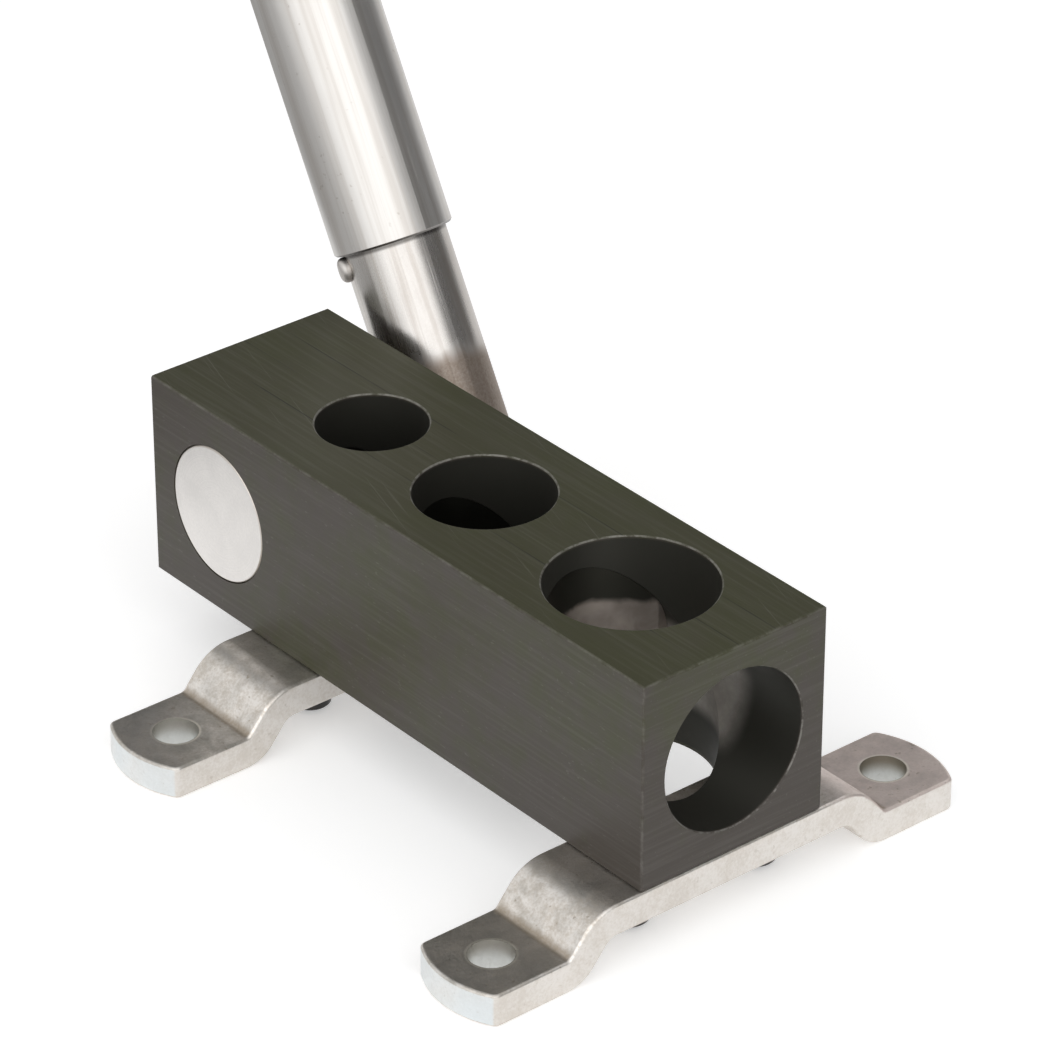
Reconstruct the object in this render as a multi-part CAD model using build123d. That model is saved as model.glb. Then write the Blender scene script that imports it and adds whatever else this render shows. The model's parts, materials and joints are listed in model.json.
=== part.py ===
"""Lever-operated tube notcher: a bored steel block on two strap feet.

A tube end is dropped into one of three holes in the top of the block.  Swinging the lever turns an
eccentric cross-shaft, whose roller drives a stepped ram forward along the block and shears the tube
end to a saddle of the tube's own diameter.

Millimetres and degrees.  +X is the front of the block, +Y the lever's side and +Z up.  The origin is
the middle of the four bench bolts, on the bench.
"""

from build123d import *
import math
import os

# Tubes that the block takes, by outside diameter
SMALL_TUBE = 25.4
MEDIUM_TUBE = 31.75
LARGE_TUBE = 38.1
TUBE_CLEARANCE = 0.15

# Body block, a square steel bar, and the walls left between its bores
BLOCK_SIDE = 50.8
BLOCK_EDGE = 0.5
FRONT_WALL = 14.65
LARGE_TO_MEDIUM_WALL = 14.3
MEDIUM_TO_SMALL_WALL = 11.1
SMALL_TO_SHAFT_WALL = 1.0
REAR_WALL = 7.9
RIM_CHAMFER = 0.3

# Ram
RAM_CLEARANCE = 0.08
RAM_BACK_GAP = 0.3
RAM_NOSE_SETBACK = 10.0
RAM_TAIL_WALL = 6.0
RAM_EDGE = 0.4
REAR_PLUG_THICKNESS = 3.0
SMALL_SLUG_HOLE = 12.0
MEDIUM_SLUG_HOLE = 18.0

# Eccentric cross-shaft and its roller
SHAFT_DIA = 33.0
SHAFT_CLEARANCE = 0.08
SHAFT_EDGE = 0.4
CRANK_THROW = 6.5
LEVER_SWING = 90.0
PIN_DIA = 12.0
PIN_SEAT = 8.0
PIN_CLEARANCE = 0.05
DOWEL_DIA = 4.0
DOWEL_BITE = 8.0
ROLLER_DIA = 16.0
ROLLER_PLAY = 0.35
ROLLER_FLOOR_GAP = 0.6
ROLLER_END_GAP = 1.0
JOURNAL_GAP = 0.5

# Handle tube, slipped over the lever bar down to a stop pin
HANDLE_DIA = 28.6
HANDLE_WALL = 1.6
HANDLE_CLEARANCE = 0.2
HANDLE_LENGTH = 400.0
HANDLE_EDGE = 0.5
HANDLE_SEAT_GAP = 0.3
STOP_PIN_DIA = 6.0
STOP_PIN_HEIGHT = 41.0
STOP_PIN_PROUD = 1.9
STOP_PIN_DEPTH = 8.0
STOP_PIN_TURN = 25.0
END_PLUG_CAP = 4.0
END_PLUG_ROUND = 2.4
END_PLUG_DEPTH = 14.0

# Lever bar, which fits the handle tube and seats in a saddle in the shaft's outer end
LEVER_LEAN = 29.0
BAR_DIA = HANDLE_DIA - 2 * (HANDLE_WALL + HANDLE_CLEARANCE)
BAR_GAP = 4.6
BAR_TAIL = 22.0
BAR_REACH = 150.0
BAR_EDGE = 1.5
SADDLE_DEPTH = 5.0
LEVER_SCREW_DIA = 8.0
LEVER_SCREW_GRIP = 14.0
LEVER_SCREW_HEAD_SINK = 10.0

# Strap feet, bent from flat bar
FOOT_REACH = 68.3
FOOT_PAD_END = 12.75
BOLT_SPACING_X = 111.1
BOLT_SPACING_Y = 2 * (FOOT_REACH - FOOT_PAD_END)
BOLT_HOLE_DIA = 10.3
FOOT_WIDTH = 25.4
FOOT_THICKNESS = 7.94
FOOT_JOGGLE = 8.7
FOOT_BEND_START = 31.6
FOOT_BEND_ANGLE = 50.0
FOOT_BEND_RADIUS = 12.0
FOOT_CREASE_RADIUS = 1.5
FOOT_END_BULGE = 3.8
FOOT_CORNER = 2.0
FOOT_EDGE = 0.8
SLUG_WAY_DIA = 16.0

# Screws that hold the feet, from below
FOOT_SCREW_DIA = 6.35
FOOT_SCREW_SPACING = 36.0
FOOT_SCREW_BITE = 9.0
FOOT_WASHER_DIA = 11.5
FOOT_WASHER_THICKNESS = 1.4
TAP_RUNOUT = 1.5
SCREW_CLEARANCE = 0.2

# Dog-point set screws that keep the shaft in place and the ram from turning
SET_SCREW_DIA = 8.0
SET_SCREW_SINK = 0.5
DOG_DIA = 5.0
DOG_REACH = 2.2
DOG_CLEARANCE = 0.25
GUIDE_DROP = 5.0
GUIDE_FROM_MEDIUM_HOLE = 2.0

# Heads, sockets and bevels, as shares of the screw's or pin's diameter
HEAD_DIA_RATIO = 1.5
HEAD_HEIGHT_RATIO = 1.0
HEAD_BEVEL_RATIO = 0.06
SOCKET_RATIO = 0.8
SOCKET_DEPTH_RATIO = 0.5
TIP_BEVEL_RATIO = 0.1
PIN_DOME_RATIO = 0.25

# Places worked out from the driving dimensions
small_r = SMALL_TUBE / 2
medium_r = MEDIUM_TUBE / 2
large_r = LARGE_TUBE / 2
half_side = BLOCK_SIDE / 2
shaft_r = SHAFT_DIA / 2
bar_r = BAR_DIA / 2
cross_bore_r = shaft_r + SHAFT_CLEARANCE
small_bore_r = small_r + RAM_CLEARANCE

block_bottom = FOOT_JOGGLE + FOOT_THICKNESS
axis_z = block_bottom + half_side
block_top = block_bottom + BLOCK_SIDE

front_x = BOLT_SPACING_X / 2 + FOOT_WIDTH / 2
large_x = front_x - FRONT_WALL - large_r
first_step_x = large_x - large_r - LARGE_TO_MEDIUM_WALL / 2
medium_x = large_x - large_r - LARGE_TO_MEDIUM_WALL - medium_r
second_step_x = medium_x - medium_r - MEDIUM_TO_SMALL_WALL / 2
small_x = medium_x - medium_r - MEDIUM_TO_SMALL_WALL - small_r
shaft_x = small_x - small_r - TUBE_CLEARANCE - SMALL_TO_SHAFT_WALL - math.sqrt(
    cross_bore_r**2 - small_bore_r**2
)
ram_pockets = ((small_x, small_r, SMALL_SLUG_HOLE), (medium_x, medium_r, MEDIUM_SLUG_HOLE))
rear_x = shaft_x - cross_bore_r - REAR_WALL
block_x = (front_x + rear_x) / 2
block_length = front_x - rear_x

# The crank pin starts half the swing behind top dead centre
rest_phase = math.radians(LEVER_SWING / 2)
pin_x = shaft_x - CRANK_THROW * math.sin(rest_phase)
pin_z = axis_z + CRANK_THROW * math.cos(rest_phase)
journal_y = small_r + JOURNAL_GAP
saddle_y = half_side + BAR_GAP
bar_y = saddle_y + bar_r
shaft_end_y = saddle_y + SADDLE_DEPTH
notch_half = ROLLER_DIA / 2 + ROLLER_PLAY
notch_floor = pin_z - ROLLER_DIA / 2 - ROLLER_FLOOR_GAP
ram_tail_x = pin_x - notch_half - RAM_TAIL_WALL
keeper_y = (journal_y + half_side) / 2
dowel_root = CRANK_THROW + PIN_DIA / 2 - DOWEL_BITE

handle_bottom = STOP_PIN_HEIGHT + STOP_PIN_DIA / 2 + HANDLE_SEAT_GAP
handle_r = HANDLE_DIA / 2
handle_bore_r = handle_r - HANDLE_WALL

guide_x = medium_x - GUIDE_FROM_MEDIUM_HOLE
guide_z = axis_z - GUIDE_DROP
guide_face_y = math.sqrt(medium_r**2 - GUIDE_DROP**2)
ram_stroke = 2 * CRANK_THROW * math.sin(rest_phase)

# Local frame of the lever: +Z runs up the bar from the shaft's axis
lever = Pos(shaft_x, bar_y, axis_z) * Rot(0, -LEVER_LEAN, 0)


def along_x(radius, start, end):
    """Cylinder along the ram's axis between two places."""
    return Pos((start + end) / 2, 0, axis_z) * Rot(0, 90, 0) * Cylinder(radius, end - start)


def along_y(radius, start, end, x, z):
    """Cylinder along Y between two places."""
    return Pos(x, (start + end) / 2, z) * Rot(90, 0, 0) * Cylinder(radius, end - start)


def along_z(radius, start, end, x=0.0, y=0.0):
    """Cylinder along Z between two places."""
    return Pos(x, y, (start + end) / 2) * Cylinder(radius, end - start)


def screw_socket(screw_dia):
    """Hexagon socket sunk from the plane z = 0 towards +Z."""
    outline = RegularPolygon(SOCKET_RATIO * screw_dia / 2, 6, major_radius=False)
    return extrude(outline, SOCKET_DEPTH_RATIO * screw_dia)


def cap_screw(screw_dia, shank):
    """Socket cap screw that points along +Z, with the underside of its head at z = 0."""
    head_height = HEAD_HEIGHT_RATIO * screw_dia
    head = along_z(HEAD_DIA_RATIO * screw_dia / 2, -head_height, 0)
    head = chamfer(head.edges().filter_by(GeomType.CIRCLE).sort_by(Axis.Z)[0], HEAD_BEVEL_RATIO * screw_dia)
    head -= Pos(0, 0, -head_height) * screw_socket(screw_dia)
    stem = along_z(screw_dia / 2, 0, shank)
    stem = chamfer(stem.edges().filter_by(GeomType.CIRCLE).sort_by(Axis.Z)[-1], TIP_BEVEL_RATIO * screw_dia)
    return head + stem


def dog_screw(body_length, dog_length):
    """Dog-point set screw that points along +Z, with its socket end at z = 0."""
    body = along_z(SET_SCREW_DIA / 2, 0, body_length)
    rims = body.edges().filter_by(GeomType.CIRCLE)
    body = chamfer(rims, HEAD_BEVEL_RATIO * SET_SCREW_DIA)
    dog = along_z(DOG_DIA / 2, body_length, body_length + dog_length)
    return body + dog - screw_socket(SET_SCREW_DIA)


def make_body_block():
    """Square block with three tube holes, the stepped ram bore and the cross-bore."""
    bar = Box(block_length, BLOCK_SIDE, BLOCK_SIDE)
    block = Pos(block_x, 0, axis_z) * chamfer(bar.edges(), BLOCK_EDGE)

    # The large hole goes right through, the others down to the ram's axis with a slug hole below
    block -= along_z(large_r + TUBE_CLEARANCE, block_bottom, block_top, large_x)
    for tube_x, tube_r, slug_dia in ram_pockets:
        block -= along_z(tube_r + TUBE_CLEARANCE, axis_z, block_top, tube_x)
        block -= along_z(slug_dia / 2, block_bottom, axis_z, tube_x)
    for tube_x, tube_r in ((small_x, small_r), (medium_x, medium_r), (large_x, large_r)):
        hole_r = tube_r + TUBE_CLEARANCE
        rim = Cone(hole_r, hole_r + RIM_CHAMFER, RIM_CHAMFER)
        block -= Pos(tube_x, 0, block_top - RIM_CHAMFER / 2) * rim

    front_bore_r = large_r + RAM_CLEARANCE
    block -= along_x(front_bore_r, first_step_x, front_x)
    block -= along_x(medium_r + RAM_CLEARANCE, second_step_x, front_x)
    block -= along_x(small_bore_r, rear_x, front_x)
    front_rim = Cone(front_bore_r, front_bore_r + RIM_CHAMFER, RIM_CHAMFER)
    block -= Pos(front_x - RIM_CHAMFER / 2, 0, axis_z) * Rot(0, 90, 0) * front_rim
    block -= along_y(cross_bore_r, -half_side, half_side, shaft_x, axis_z)

    tap_depth = FOOT_SCREW_BITE + TAP_RUNOUT
    for x in (BOLT_SPACING_X / 2, -BOLT_SPACING_X / 2):
        for y in (FOOT_SCREW_SPACING / 2, -FOOT_SCREW_SPACING / 2):
            block -= along_z(FOOT_SCREW_DIA / 2, block_bottom, block_bottom + tap_depth, x, y)
    block -= along_z(SET_SCREW_DIA / 2, block_bottom, axis_z - shaft_r / 2, shaft_x, keeper_y)
    block -= along_y(SET_SCREW_DIA / 2, guide_face_y - DOG_REACH, half_side, guide_x, guide_z)
    return block


def make_ram():
    """Stepped ram: each section has the diameter of the tube that it notches."""
    nose_x = large_x - RAM_NOSE_SETBACK
    first_x = first_step_x + RAM_BACK_GAP
    second_x = second_step_x + RAM_BACK_GAP
    profile = Polyline(
        (ram_tail_x, 0),
        (ram_tail_x, small_r - RAM_EDGE),
        (ram_tail_x + RAM_EDGE, small_r),
        (second_x, small_r),
        (second_x, medium_r),
        (first_x, medium_r),
        (first_x, large_r),
        (nose_x, large_r),
        (nose_x, 0),
        close=True,
    )
    section = Plane.XZ * make_face(profile)
    ram = Pos(0, 0, axis_z) * revolve(section, Axis.X)

    # Pockets that the tube ends stand in, down to the ram's axis, with slug holes below
    ram -= along_z(large_r + TUBE_CLEARANCE, block_bottom, block_top, large_x)
    for tube_x, tube_r, slug_dia in ram_pockets:
        ram -= along_z(tube_r + TUBE_CLEARANCE, axis_z, block_top, tube_x)
        ram -= along_z(slug_dia / 2, block_bottom, axis_z, tube_x)

    # Notch for the roller, open at the top
    notch_height = block_top - notch_floor
    notch = Box(2 * notch_half, BLOCK_SIDE, notch_height)
    ram -= Pos(pin_x, 0, notch_floor + notch_height / 2) * notch

    # Keyway for the guide screw, as long as the stroke
    key_half = DOG_DIA / 2 + DOG_CLEARANCE
    key_floor_y = guide_face_y - DOG_REACH - DOG_CLEARANCE
    key_depth = half_side - key_floor_y
    keyway = SlotCenterToCenter(ram_stroke, 2 * key_half)
    keyway = extrude(Plane.XZ * keyway, -key_depth)
    ram -= Pos(guide_x - ram_stroke / 2, key_floor_y, guide_z) * keyway
    return ram


def make_crank_shaft():
    """Journal and eccentric pin in one piece, with a saddle for the bar in its outer end."""
    journal = along_y(shaft_r, journal_y, shaft_end_y, shaft_x, axis_z)
    journal = chamfer(journal.edges().filter_by(GeomType.CIRCLE), SHAFT_EDGE)
    pin = along_y(PIN_DIA / 2, -journal_y - PIN_SEAT, journal_y, pin_x, pin_z)
    shaft = journal + pin

    groove_half = DOG_DIA / 2 + DOG_CLEARANCE
    groove = along_y(cross_bore_r, keeper_y - groove_half, keeper_y + groove_half, shaft_x, axis_z)
    groove -= along_y(
        shaft_r - DOG_REACH - DOG_CLEARANCE,
        keeper_y - groove_half,
        keeper_y + groove_half,
        shaft_x,
        axis_z,
    )
    shaft -= groove
    shaft -= lever * Cylinder(bar_r, 2 * SHAFT_DIA)
    tap_bottom = saddle_y - LEVER_SCREW_GRIP - TAP_RUNOUT / 2
    shaft -= along_y(LEVER_SCREW_DIA / 2, tap_bottom, shaft_end_y, shaft_x, axis_z)
    return shaft - dowel_place() * along_z(DOWEL_DIA / 2, dowel_root, shaft_r)


def make_crank_end_disc():
    """Disc that carries the far end of the crank pin, flush with the block's near face."""
    disc = along_y(shaft_r, -half_side, -journal_y, shaft_x, axis_z)
    disc = chamfer(disc.edges().filter_by(GeomType.CIRCLE), SHAFT_EDGE)
    disc -= along_y(PIN_DIA / 2, -journal_y - PIN_SEAT, 0, pin_x, pin_z)
    return disc - dowel_place() * along_z(DOWEL_DIA / 2, 0, shaft_r)


def dowel_place():
    """Local frame of the dowel, +Z pointing from the shaft's axis through the crank pin."""
    dowel_y = -journal_y - PIN_SEAT / 2
    return Pos(shaft_x, dowel_y, axis_z) * Rot(0, -LEVER_SWING / 2, 0)


def make_crank_dowel():
    """Dowel that pins the end disc to the crank pin."""
    dowel = along_z(DOWEL_DIA / 2, dowel_root, shaft_r - SHAFT_EDGE)
    tips = dowel.edges().filter_by(GeomType.CIRCLE)
    return dowel_place() * chamfer(tips, TIP_BEVEL_RATIO * DOWEL_DIA)


def make_drive_roller():
    """Roller that turns on the crank pin inside the ram's notch."""
    half_length = journal_y - ROLLER_END_GAP
    roller = along_y(ROLLER_DIA / 2, -half_length, half_length, pin_x, pin_z)
    roller = chamfer(roller.edges().filter_by(GeomType.CIRCLE), SHAFT_EDGE)
    return roller - along_y(PIN_DIA / 2 + PIN_CLEARANCE, -half_length, half_length, pin_x, pin_z)


def make_rear_plug():
    """Disc that closes the rear end of the ram bore."""
    plug = along_x(small_bore_r, rear_x, rear_x + REAR_PLUG_THICKNESS)
    return chamfer(plug.edges().filter_by(GeomType.CIRCLE), RAM_EDGE)


def make_shaft_keeper_screw():
    """Set screw from below, with its dog in the groove of the journal."""
    body_length = axis_z - shaft_r - SHAFT_CLEARANCE - block_bottom - SET_SCREW_SINK
    return Pos(shaft_x, keeper_y, block_bottom + SET_SCREW_SINK) * dog_screw(body_length, DOG_REACH)


def make_ram_guide_screw():
    """Set screw from the far face, with its dog in the ram's keyway."""
    body_length = half_side - SET_SCREW_SINK - medium_r - TUBE_CLEARANCE
    dog_length = medium_r + TUBE_CLEARANCE - guide_face_y + DOG_REACH
    screw = Rot(90, 0, 0) * dog_screw(body_length, dog_length)
    return Pos(guide_x, half_side - SET_SCREW_SINK, guide_z) * screw


def make_lever_bar():
    """Round bar, counterbored for its screw and drilled for the stop pin."""
    bar = along_z(bar_r, -BAR_TAIL, BAR_REACH)
    bar = chamfer(bar.edges().filter_by(GeomType.CIRCLE), BAR_EDGE)
    head_r = HEAD_DIA_RATIO * LEVER_SCREW_DIA / 2 + SCREW_CLEARANCE
    bar -= along_y(head_r, bar_r - LEVER_SCREW_HEAD_SINK, bar_r, 0, 0)
    bar -= along_y(LEVER_SCREW_DIA / 2 + SCREW_CLEARANCE, -bar_r, bar_r, 0, 0)
    bar -= stop_pin_place() * along_z(STOP_PIN_DIA / 2, bar_r - STOP_PIN_DEPTH, bar_r)
    return lever * bar


def stop_pin_place():
    """Local frame of the stop pin on the bar, +Z pointing out of the bar."""
    return Pos(0, 0, STOP_PIN_HEIGHT) * Rot(0, 0, -STOP_PIN_TURN) * Rot(90, 0, 0)


def make_lever_screw():
    """Cap screw through the bar into the end of the shaft."""
    seat_y = bar_r - LEVER_SCREW_HEAD_SINK
    shank = bar_r + seat_y + LEVER_SCREW_GRIP
    return lever * Pos(0, seat_y, 0) * Rot(90, 0, 0) * cap_screw(LEVER_SCREW_DIA, shank)


def make_handle_stop_pin():
    """Domed pin in the bar, on which the handle tube rests."""
    pin = along_z(STOP_PIN_DIA / 2, bar_r - STOP_PIN_DEPTH, bar_r + STOP_PIN_PROUD)
    tip = pin.edges().filter_by(GeomType.CIRCLE).sort_by(Axis.Z)[-1]
    return lever * stop_pin_place() * fillet(tip, PIN_DOME_RATIO * STOP_PIN_DIA)


def make_handle_tube():
    """Steel tube slipped over the bar."""
    top = handle_bottom + HANDLE_LENGTH
    tube = along_z(handle_r, handle_bottom, top) - along_z(handle_bore_r, handle_bottom, top)
    rims = tube.edges().filter_by(GeomType.CIRCLE)
    return lever * chamfer(rims, HANDLE_EDGE)


def make_handle_end_plug():
    """Push-in plug that closes the handle's upper end."""
    top = handle_bottom + HANDLE_LENGTH
    cap = along_z(handle_r, top, top + END_PLUG_CAP)
    rim = cap.edges().filter_by(GeomType.CIRCLE).sort_by(Axis.Z)[-1]
    cap = fillet(rim, END_PLUG_ROUND)
    return lever * (cap + along_z(handle_bore_r, top - END_PLUG_DEPTH, top))


def make_foot():
    """Joggled strap: a raised middle under the block and a bolt pad at each end."""
    half_thickness = FOOT_THICKNESS / 2
    half_bend = math.tan(math.radians(FOOT_BEND_ANGLE / 2))
    knee_radius = FOOT_BEND_RADIUS - half_thickness
    crease_radius = FOOT_CREASE_RADIUS + half_thickness
    knee_y = FOOT_BEND_START + knee_radius * half_bend
    crease_y = knee_y + FOOT_JOGGLE / math.tan(math.radians(FOOT_BEND_ANGLE))
    low = half_thickness
    high = FOOT_JOGGLE + half_thickness
    path = FilletPolyline(
        (-FOOT_REACH, low),
        (-crease_y, low),
        (-knee_y, high),
        (knee_y, high),
        (crease_y, low),
        (FOOT_REACH, low),
        radius=[crease_radius, knee_radius, knee_radius, crease_radius],
    )
    side = Plane.YZ * trace(path, FOOT_THICKNESS)
    strap = extrude(side, FOOT_WIDTH / 2, both=True)

    half_width = FOOT_WIDTH / 2
    shoulder = FOOT_REACH - FOOT_END_BULGE
    outline = make_face(
        [
            ThreePointArc((-half_width, shoulder), (0, FOOT_REACH), (half_width, shoulder)),
            Line((half_width, shoulder), (half_width, -shoulder)),
            ThreePointArc((half_width, -shoulder), (0, -FOOT_REACH), (-half_width, -shoulder)),
            Line((-half_width, -shoulder), (-half_width, shoulder)),
        ]
    )
    outline = fillet(outline.vertices(), FOOT_CORNER)
    strap &= extrude(outline, block_bottom)
    walls = [face for face in strap.faces() if abs(face.normal_at().Z) < 0.01]
    rims = [edge for wall in walls for edge in wall.edges() if abs((edge % 0.5).Z) < 0.9]
    strap = fillet(rims, FOOT_EDGE)

    for y in (-BOLT_SPACING_Y / 2, BOLT_SPACING_Y / 2):
        strap -= along_z(BOLT_HOLE_DIA / 2, 0, block_bottom, 0, y)
    for y in (-FOOT_SCREW_SPACING / 2, FOOT_SCREW_SPACING / 2):
        strap -= along_z(FOOT_SCREW_DIA / 2 + SCREW_CLEARANCE, 0, block_bottom, 0, y)
    return strap


def make_front_foot():
    """Strap under the front end of the block."""
    return Pos(BOLT_SPACING_X / 2, 0, 0) * make_foot()


def make_rear_foot():
    """Strap under the small tube hole, with a way through for its slugs."""
    foot = Pos(-BOLT_SPACING_X / 2, 0, 0) * make_foot()
    return foot - along_z(SLUG_WAY_DIA / 2, 0, block_bottom, small_x)


def make_foot_screws(x):
    """Two cap screws from below, through the strap into the block."""
    seat_z = FOOT_JOGGLE - FOOT_WASHER_THICKNESS
    shank = FOOT_WASHER_THICKNESS + FOOT_THICKNESS + FOOT_SCREW_BITE
    screw = cap_screw(FOOT_SCREW_DIA, shank)
    places = [Pos(x, y, seat_z) for y in (-FOOT_SCREW_SPACING / 2, FOOT_SCREW_SPACING / 2)]
    return Compound([place * screw.solid() for place in places])


def make_foot_washers(x):
    """Two plain washers between the screw heads and the strap."""
    bottom = FOOT_JOGGLE - FOOT_WASHER_THICKNESS
    washer = along_z(FOOT_WASHER_DIA / 2, bottom, FOOT_JOGGLE)
    washer -= along_z(FOOT_SCREW_DIA / 2 + SCREW_CLEARANCE, bottom, FOOT_JOGGLE)
    places = [Pos(x, y, 0) for y in (-FOOT_SCREW_SPACING / 2, FOOT_SCREW_SPACING / 2)]
    return Compound([place * washer.solid() for place in places])


pieces = {
    "body_block": make_body_block(),
    "ram": make_ram(),
    "crank_shaft": make_crank_shaft(),
    "crank_end_disc": make_crank_end_disc(),
    "crank_dowel": make_crank_dowel(),
    "drive_roller": make_drive_roller(),
    "rear_plug": make_rear_plug(),
    "shaft_keeper_screw": make_shaft_keeper_screw(),
    "ram_guide_screw": make_ram_guide_screw(),
    "lever_bar": make_lever_bar(),
    "lever_screw": make_lever_screw(),
    "handle_stop_pin": make_handle_stop_pin(),
    "handle_tube": make_handle_tube(),
    "handle_end_plug": make_handle_end_plug(),
    "front_foot": make_front_foot(),
    "rear_foot": make_rear_foot(),
    "front_foot_screws": make_foot_screws(BOLT_SPACING_X / 2),
    "rear_foot_screws": make_foot_screws(-BOLT_SPACING_X / 2),
    "front_foot_washers": make_foot_washers(BOLT_SPACING_X / 2),
    "rear_foot_washers": make_foot_washers(-BOLT_SPACING_X / 2),
}

os.makedirs("parts", exist_ok=True)
for name, piece in pieces.items():
    export_step(piece, f"parts/{name}.step")
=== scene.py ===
"""Tube notcher: the finishes of its pieces, and the studio and camera that show it."""

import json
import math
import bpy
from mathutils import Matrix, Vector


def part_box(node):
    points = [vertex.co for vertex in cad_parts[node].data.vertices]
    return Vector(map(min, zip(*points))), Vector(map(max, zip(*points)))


bl_info = {
    "name": "Tube Notcher",
    "version": (1, 0, 0),
    "blender": (4, 5, 0),
    "location": "View3D > Sidebar > Tube Notcher",
    "description": "Gives the tube notcher its metal finishes and sets up its studio",
    "category": "Object",
}

import bpy
from bpy.props import FloatProperty, FloatVectorProperty, PointerProperty
from bpy.types import Operator, Panel, PropertyGroup
from mathutils import Matrix, Vector

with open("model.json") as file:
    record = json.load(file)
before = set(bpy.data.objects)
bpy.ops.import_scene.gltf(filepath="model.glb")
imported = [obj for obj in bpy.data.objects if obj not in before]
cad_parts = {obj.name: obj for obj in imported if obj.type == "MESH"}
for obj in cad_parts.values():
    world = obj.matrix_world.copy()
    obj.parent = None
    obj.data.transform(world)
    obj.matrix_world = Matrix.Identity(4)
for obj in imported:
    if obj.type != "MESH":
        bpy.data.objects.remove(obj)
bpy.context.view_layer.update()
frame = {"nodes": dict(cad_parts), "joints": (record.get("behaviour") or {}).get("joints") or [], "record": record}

MM = 0.001

BLOCK_LOW, BLOCK_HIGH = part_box("body_block")
RAM_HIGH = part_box("ram")[1]
FOOT_LOW, FOOT_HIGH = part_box("front_foot")
MOUNTS = {mount["name"]: mount for mount in frame["record"]["mounts"]}
JOINTS = {joint["name"]: joint for joint in frame["joints"]}
TUBE_HOLES = ("small_tube_hole", "medium_tube_hole", "large_tube_hole")
SHAFT_AT = Vector(JOINTS["lever_swing"]["pos_m"])
LEVER_AXIS = Vector(JOINTS["handle_slip"]["axis"]).normalized()

# Where the finishes change on the pieces. A pair is the start and the end of a soft edge.
SCRIBED_AT = (-9.6 * MM, 0.8 * MM, 11.0 * MM)
SCRIBED_DEPTH = (0.1 * MM, 0.2 * MM)
FACE_DEPTH = (0.1 * MM, 0.3 * MM)
BORE_DEPTH = (0.4 * MM, 0.9 * MM)
# Where the painted light patch lies on the far wall of the largest tube hole.
LIT_PATCH_FRONT = (-8.0 * MM, 0.0)
LIT_PATCH_LOW = (-16.0 * MM, -11.0 * MM)
LIT_PATCH_HIGH = (1.0 * MM, 6.0 * MM)
TURNED_RIM = (-0.7 * MM, -0.2 * MM)
NOSE_BACK = (-9.7 * MM, -9.4 * MM)
# Top of the painted light on the ram's bare shearing face.
NOSE_LIT_HEIGHT = (8.5 * MM, 10.5 * MM)
TARNISH_HEIGHT = (13.0 * MM, 19.0 * MM)
# Where the painted shadow under the tube's end lies on the bar.
SEAT_SHADOW_LOW = (-1.3 * MM, -0.5 * MM)
SEAT_SHADOW_HIGH = (0.3 * MM, 0.6 * MM)
CREASE_FROM_BOLT = 11.05 * MM
CREASE_WIDTH = (0.3 * MM, 1.5 * MM)
CREASE_HEIGHT = (7.2 * MM, 7.8 * MM)
STRAP_SIDE = (-1.1 * MM, -0.4 * MM)
STRAP_CREST = (-2.0 * MM, -0.3 * MM)
PAD_START = (-1.0 * MM, 1.5 * MM)
HOLE_WALL = (0.05 * MM, 0.15 * MM)
# Width of the painted highlight ring round each bolt hole.
HOLE_RIM_HIGHLIGHT = (0.3 * MM, 0.8 * MM)
# Heights over which the painted shade on the bolt holes' walls grows towards the top.
HOLE_SHADE_HEIGHT = (3.0 * MM, 7.0 * MM)
LEVER_SIDE = (20.0 * MM, 40.0 * MM)


class Number:
    """A number socket of a shader, on which arithmetic adds Math nodes."""

    def __init__(self, shader, socket):
        self.shader = shader
        self.socket = socket

    def __add__(self, other):
        return self.shader.math("ADD", self, other)

    def __sub__(self, other):
        return self.shader.math("SUBTRACT", self, other)

    def __rsub__(self, other):
        return self.shader.math("SUBTRACT", other, self)

    def __mul__(self, other):
        return self.shader.math("MULTIPLY", self, other)

    def __pow__(self, other):
        return self.shader.math("POWER", self, other)

    def __abs__(self):
        return self.shader.math("ABSOLUTE", self)

    __radd__ = __add__
    __rmul__ = __mul__


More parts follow.
